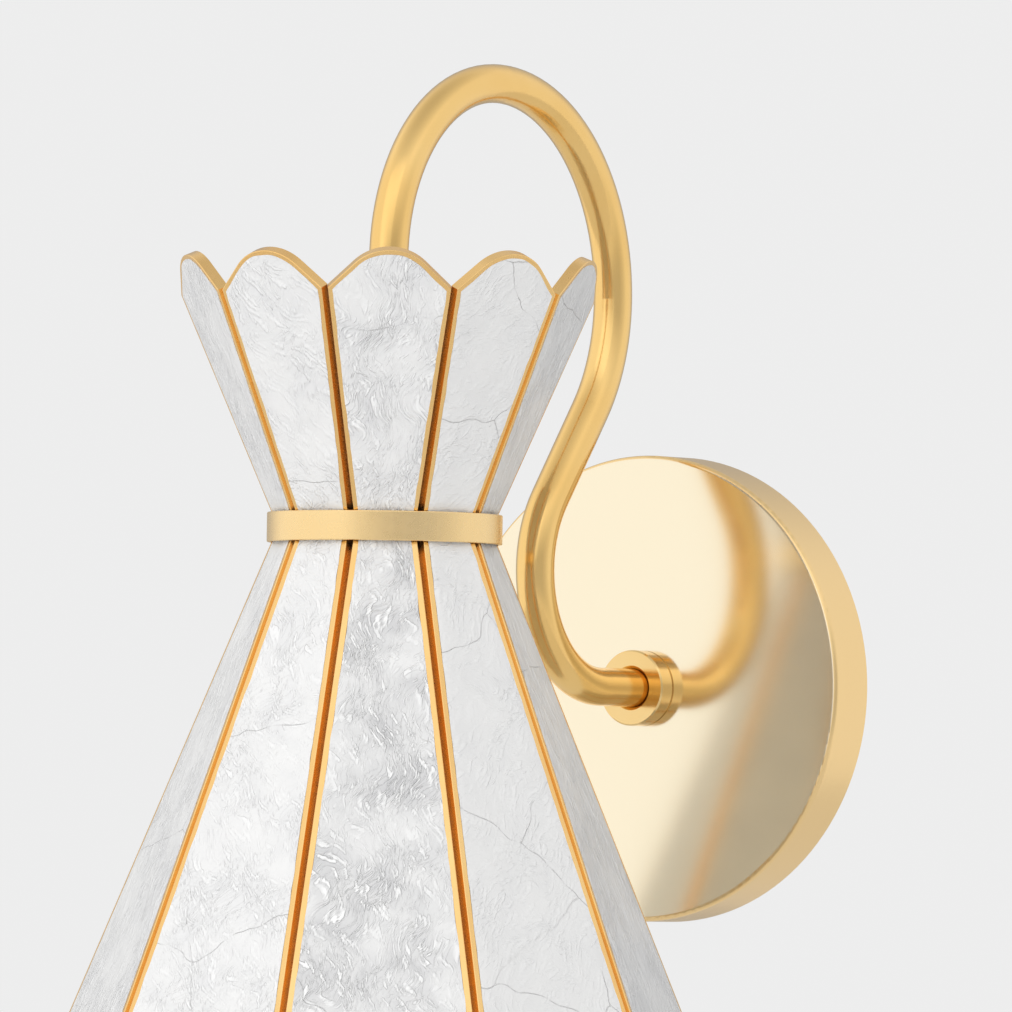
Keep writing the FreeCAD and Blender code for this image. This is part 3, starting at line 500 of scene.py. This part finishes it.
def shell_finish(name, crumple, crease_grey_and_shade, swirl, turn, stretch, seam_spacing):
    """Pearly shell. crumple is how strongly it is creased, and ground the grey between the creases there,
    which is partly the shell's own grey and partly painted shade. swirl is how far the creases wander, turn
    and stretch the way they run, seam_spacing how far apart hairline seams lie."""
    material, tree, shader = new_material(name)
    place = node(tree, "ShaderNodeUVMap", uv_map="slope").outputs["UV"]
    flow = pushed(tree, place, WIDE_SWIRLS, swirl)
    flow = pushed(tree, flow, FINE_SWIRLS, swirl / FINE_SWIRL_SHARE)
    clouds = grain(tree, 1, CLOUDS, turn, 4, flow)
    fibres = grain(tree, 1, (FIBRES, FIBRES / stretch, 1), -turn, 4, flow)
    patches = grain(tree, PATCHES, detail=2, vector=place)
    strength = spread(tree, patches, crumple * 0.4, crumple, 0.38, 0.58)
    large = strokes(tree, flow, turn, LARGE_STROKES, stretch)
    small = strokes(tree, flow, turn - SMALL_STROKE_TURN, SMALL_STROKES, stretch)
    stroke = combine(tree, large, combine(tree, small, SMALL_STROKE_SHARE, "MULTIPLY"))
    lifted = combine(tree, spread(tree, stroke, 0, 1, 0.36, 0.74), strength, "MULTIPLY")
    crests = combine(tree, crest(tree, fibres, CREST_WIDTH), strength, "MULTIPLY")
    seams = hairlines(tree, flow, clouds, seam_spacing)

    # Grey in the creased patches and white on the raised strokes: partly the shell's own tones, partly
    # painted shade and painted highlight.
    tone = blend_colours(tree, strength, PEARL, (crease_grey_and_shade, crease_grey_and_shade, crease_grey_and_shade * 1.01, 1))
    tone = blend_colours(tree, spread(tree, clouds, 0, 0.5, 0.35, 0.65), tone, MILK)
    tone = blend_colours(tree, lifted, tone, CREST_WHITE_AND_HIGHLIGHT)
    tone = blend_colours(tree, combine(tree, seams, 0.22, "MULTIPLY"), tone, SEAM_GREY)
    tree.links.new(tone, shader.inputs["Base Color"])
    shader.inputs["Roughness"].default_value = 0.3
    height = combine(tree, lifted, combine(tree, crests, 0.3, "MULTIPLY"))
    height = combine(tree, height, clouds)
    height = combine(tree, height, combine(tree, seams, -0.5, "MULTIPLY"))
    raise_surface(tree, height, RELIEF_OF_GRAIN)
    return material


def stand_sheet(mesh, index, tilt, replaced, material):
    """Stand a flat sheet in its frame on the shade."""
    sheet = bpy.data.objects.new(mesh.name, mesh)
    bpy.context.scene.collection.objects.link(sheet)
    on_shade = Matrix.Translation(SHADE_AXIS) @ Matrix.Rotation(FACET * index, 4, "Z")
    in_frame = Matrix.Translation((0, -WAIST_APOTHEM, 0)) @ Matrix.Rotation(tilt, 4, "X")
    mesh.transform(on_shade @ in_frame)
    mesh.materials.append(material)
    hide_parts(replaced)
    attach(sheet, SCONCE)


# The ground values are the grey painted between the creases: partly the shell's own grey, partly painted
# shade.
CRUMPLED = shell_finish(
    "crumpled_shell", crumple=0.95, crease_grey_and_shade=0.64, swirl=0.018, turn=0.35, stretch=4.0, seam_spacing=0.19
)
RUMPLED = shell_finish(
    "rumpled_shell", crumple=0.9, crease_grey_and_shade=0.77, swirl=0.018, turn=0.35, stretch=4.0, seam_spacing=0.19
)
CREASED = shell_finish(
    "creased_shell", crumple=0.6, crease_grey_and_shade=0.80, swirl=0.015, turn=0.8, stretch=4.5, seam_spacing=0.06
)
SMOOTH = shell_finish(
    "smooth_shell", crumple=0.35, crease_grey_and_shade=0.84, swirl=0.015, turn=-0.6, stretch=4.0, seam_spacing=0.05
)
COMBED = shell_finish(
    "combed_shell", crumple=0.7, crease_grey_and_shade=0.74, swirl=0.008, turn=0.15, stretch=9.0, seam_spacing=0.11
)
CROWNS = (CREASED, RUMPLED, SMOOTH, COMBED, RUMPLED, CREASED, SMOOTH, RUMPLED, CREASED, COMBED)
SKIRTS = (CREASED, CRUMPLED, SMOOTH, COMBED, CRUMPLED, CREASED, SMOOTH, CRUMPLED, CREASED, COMBED)
FIRST_CROWN_SEED = 1
FIRST_SKIRT_SEED = 21
UPRIGHT = math.pi / 2

for index, panel in enumerate(PANELS):
    seed = FIRST_CROWN_SEED + index
    crown = sheet_mesh(f"crown_sheet_{panel}", CROWN_LEAN, 1, crown_top, CROWN_LAP_INSET, seed)
    stand_sheet(crown, index, UPRIGHT + CROWN_LEAN, f"crown_shell_{panel}", CROWNS[index])
    seed = FIRST_SKIRT_SEED + index
    skirt = sheet_mesh(f"skirt_sheet_{panel}", SKIRT_LEAN, -1, skirt_top, SKIRT_LAP_INSET, seed)
    stand_sheet(skirt, index, UPRIGHT - SKIRT_LEAN, f"skirt_shell_{panel}", SKIRTS[index])


# ---- Waist
# A plain satin brass band hides the pinch where crown and skirt meet. Inside it a cast ring with three
# spokes carries all the frames on the arm, between two nuts.

band_brass = brass(
    "band_brass", tint=(0.99, 0.74, 0.39, 1), deep_tint=(0.96, 0.69, 0.33, 1), roughness=0.28, satin=0.0000015
)
finish_with(band_brass, "waist_band")
finish_with(nut_brass, "waist_spider", "tube_nuts")


# ---- Lamp holder
# A drawn brass cup screwed on the end of the arm. It holds a glazed porcelain body with a rolled brass
# screw shell, a sprung centre contact and two terminal screws.

holder_brass = brass(
    "drawn_brass", tint=(0.86, 0.62, 0.30, 1), deep_tint=(0.80, 0.55, 0.25, 1), roughness=0.22
)
porcelain = plain(
    "glazed_porcelain", (0.88, 0.87, 0.84, 1), (0.84, 0.83, 0.79, 1), roughness=0.15, scale=60
)
finish_with(holder_brass, "socket_cup", "screw_shell", "centre_contact", "terminal_screws")
finish_with(porcelain, "socket_insulator")


# ---- Lamp
# A plain round lamp of frosted glass, fixed in a rolled aluminium base with a screw thread. It unscrews
# downwards out of the holder.

frosted = clouded(
    "frosted_glass",
    light=(0.93, 0.93, 0.92, 1),
    dark=(0.88, 0.88, 0.87, 1),
    scale=900,
    roughness=0.3,
    detail=4,
)
frosted_shader = frosted.node_tree.nodes["Principled BSDF"]
frosted_shader.inputs["Transmission Weight"].default_value = 0.25
frosted_shader.inputs["IOR"].default_value = 1.5
cap_metal = clouded(
    "rolled_aluminium",
    light=(0.80, 0.80, 0.80, 1),
    dark=(0.72, 0.72, 0.72, 1),
    scale=200,
    roughness=0.28,
    metallic=1.0,
)
finish_with(frosted, "bulb_glass")
finish_with(cap_metal, "bulb_base")


# ---- Studio
# A white room with a pale floor far below, and one broad lamp in front. What the brass mirrors of the
# room is softly darker to the viewer's right, on the side away from the viewer, overhead and underfoot.
# Matt surfaces get less light from the wall's side. The camera sees an even pale background.

FLOOR_LEVEL = -3.7
FLOOR_RADIUS = 8.5
FLOOR_SIDES = 64
BACKGROUND = 0.85
ROOM_ON_MATT = 0.91
FRONT_ON_MATT = 0.30
BRIGHT_SIDE = (math.sin(math.radians(12)), -math.cos(math.radians(12)), -0.4)
DARK_SIDE = (math.sin(math.radians(58)), -math.cos(math.radians(58)), 0)
FAR_SIDE = (-math.sin(math.radians(35)), math.cos(math.radians(35)), 0)
LAMP_SPOT = SHADE_AXIS + Vector((0.3, -1.4, 0.9))
LAMP_WIDTH = 2.2
LAMP_HEIGHT = 1.5
LAMP_GLOW = 0.2

floor_mesh = bpy.data.meshes.new("floor")
angles = [2 * math.pi * side / FLOOR_SIDES for side in range(FLOOR_SIDES)]
floor_edge = [(FLOOR_RADIUS * math.cos(a), FLOOR_RADIUS * math.sin(a), FLOOR_LEVEL) for a in angles]
floor_mesh.from_pydata(floor_edge, [], [tuple(range(FLOOR_SIDES))])
floor = bpy.data.objects.new("floor", floor_mesh)
bpy.context.scene.collection.objects.link(floor)
pale = plain("pale_floor", (0.97, 0.97, 0.97, 1), (0.95, 0.95, 0.95, 1), roughness=0.9, scale=3)
floor_mesh.materials.append(pale)

world = bpy.data.worlds.new("studio")
bpy.context.scene.world = world
world.use_nodes = True
room = world.node_tree
room.nodes.clear()
direction = node(room, "ShaderNodeTexCoord").outputs["Generated"]
axes = node(room, "ShaderNodeSeparateXYZ")
room.links.new(direction, axes.inputs["Vector"])


def toward(aim):
    """How squarely a direction points at a side of the room: 1 when straight at it."""
    facing = node(room, "ShaderNodeVectorMath", operation="DOT_PRODUCT")
    room.links.new(direction, facing.inputs[0])
    facing.inputs[1].default_value = aim
    return facing.outputs["Value"]


def pick(amount, low, high):
    """One level or another, by the kind of ray."""
    mix = node(room, "ShaderNodeMix", data_type="FLOAT")
    feed(room, mix.inputs["Factor"], amount)
    feed(room, mix.inputs["A"], low)
    feed(room, mix.inputs["B"], high)
    return mix.outputs["Result"]


steepness = combine(room, axes.outputs["Z"], 0.0, "ABSOLUTE")
to_the_right = spread(room, toward(DARK_SIDE), low=0.0, high=0.45, start=0.45, stop=0.95)
near_level = spread(room, steepness, low=1, high=0, start=0.15, stop=0.6)
right_side = combine(room, 1.0, combine(room, to_the_right, near_level, "MULTIPLY"), "SUBTRACT")
overhead = spread(room, steepness, low=1, high=0.6, start=0.65, stop=1.0)
far_side = spread(room, toward(FAR_SIDE), low=1.0, high=0.5, start=0.55, stop=0.95)
wall_side = spread(room, axes.outputs["Y"], low=1.0, high=0.9, start=-0.1, stop=0.5)
mirrored = right_side
for part_of_room in (overhead, far_side, wall_side):
    mirrored = combine(room, mirrored, part_of_room, "MULTIPLY")

from_front = spread(room, toward(BRIGHT_SIDE), ROOM_ON_MATT, ROOM_ON_MATT + FRONT_ON_MATT, start=0, stop=1)
wall_shade = spread(room, axes.outputs["Y"], low=1.0, high=0.36, start=-0.1, stop=0.6)
on_matt = combine(room, from_front, wall_shade, "MULTIPLY")

seen = node(room, "ShaderNodeLightPath")
level = pick(seen.outputs["Is Glossy Ray"], on_matt, mirrored)
level = pick(seen.outputs["Is Transmission Ray"], level, BACKGROUND)
level = pick(seen.outputs["Is Camera Ray"], level, BACKGROUND)
air = node(room, "ShaderNodeBackground")
air.inputs["Color"].default_value = (1, 1, 1, 1)
room.links.new(level, air.inputs["Strength"])
world_output = node(room, "ShaderNodeOutputWorld")
room.links.new(air.outputs["Background"], world_output.inputs["Surface"])

lamp_light = bpy.data.lights.new("front_panel", "AREA")
lamp_light.shape = "RECTANGLE"
lamp_light.size = LAMP_WIDTH
lamp_light.size_y = LAMP_HEIGHT
lamp_light.energy = LAMP_GLOW * math.pi * LAMP_WIDTH * LAMP_HEIGHT
front_lamp = bpy.data.objects.new("front_panel", lamp_light)
bpy.context.scene.collection.objects.link(front_lamp)
front_lamp.location = LAMP_SPOT
front_lamp.rotation_euler = (LAMP_SPOT - SHADE_AXIS).to_track_quat("Z", "Y").to_euler()


# ---- Camera
# Level with the backplate, a long lens from the right of the fitting, framed as in the photograph. Its
# place and lens were fitted to the plate, the arm, the band and the ribs of the shade.

PHOTO_PIXELS = 1012
FOCAL_PIXELS = 12000
SENSOR_WIDTH = 36
CAMERA_SPOT = (1.8471, -2.7129, -0.0553)
YAW = math.radians(35.06)
PITCH = math.radians(1.83)
ROLL = math.radians(0.84)

ahead = Vector((-math.sin(YAW) * math.cos(PITCH), math.cos(YAW) * math.cos(PITCH), math.sin(PITCH)))
level_right = Vector((math.cos(YAW), math.sin(YAW), 0))
level_up = level_right.cross(ahead)
right = level_right * math.cos(ROLL) + level_up * math.sin(ROLL)
upward = right.cross(ahead)
camera_data = bpy.data.cameras.new("camera")
camera_data.sensor_width = SENSOR_WIDTH
camera_data.lens = FOCAL_PIXELS / PHOTO_PIXELS * SENSOR_WIDTH
camera_data.clip_start = 0.1
camera = bpy.data.objects.new("camera", camera_data)
bpy.context.scene.collection.objects.link(camera)
turned = Matrix((right, upward, -ahead)).transposed().to_4x4()
camera.matrix_world = Matrix.Translation(CAMERA_SPOT) @ turned
bpy.context.scene.camera = camera

bpy.context.scene.view_settings.view_transform = "Standard"
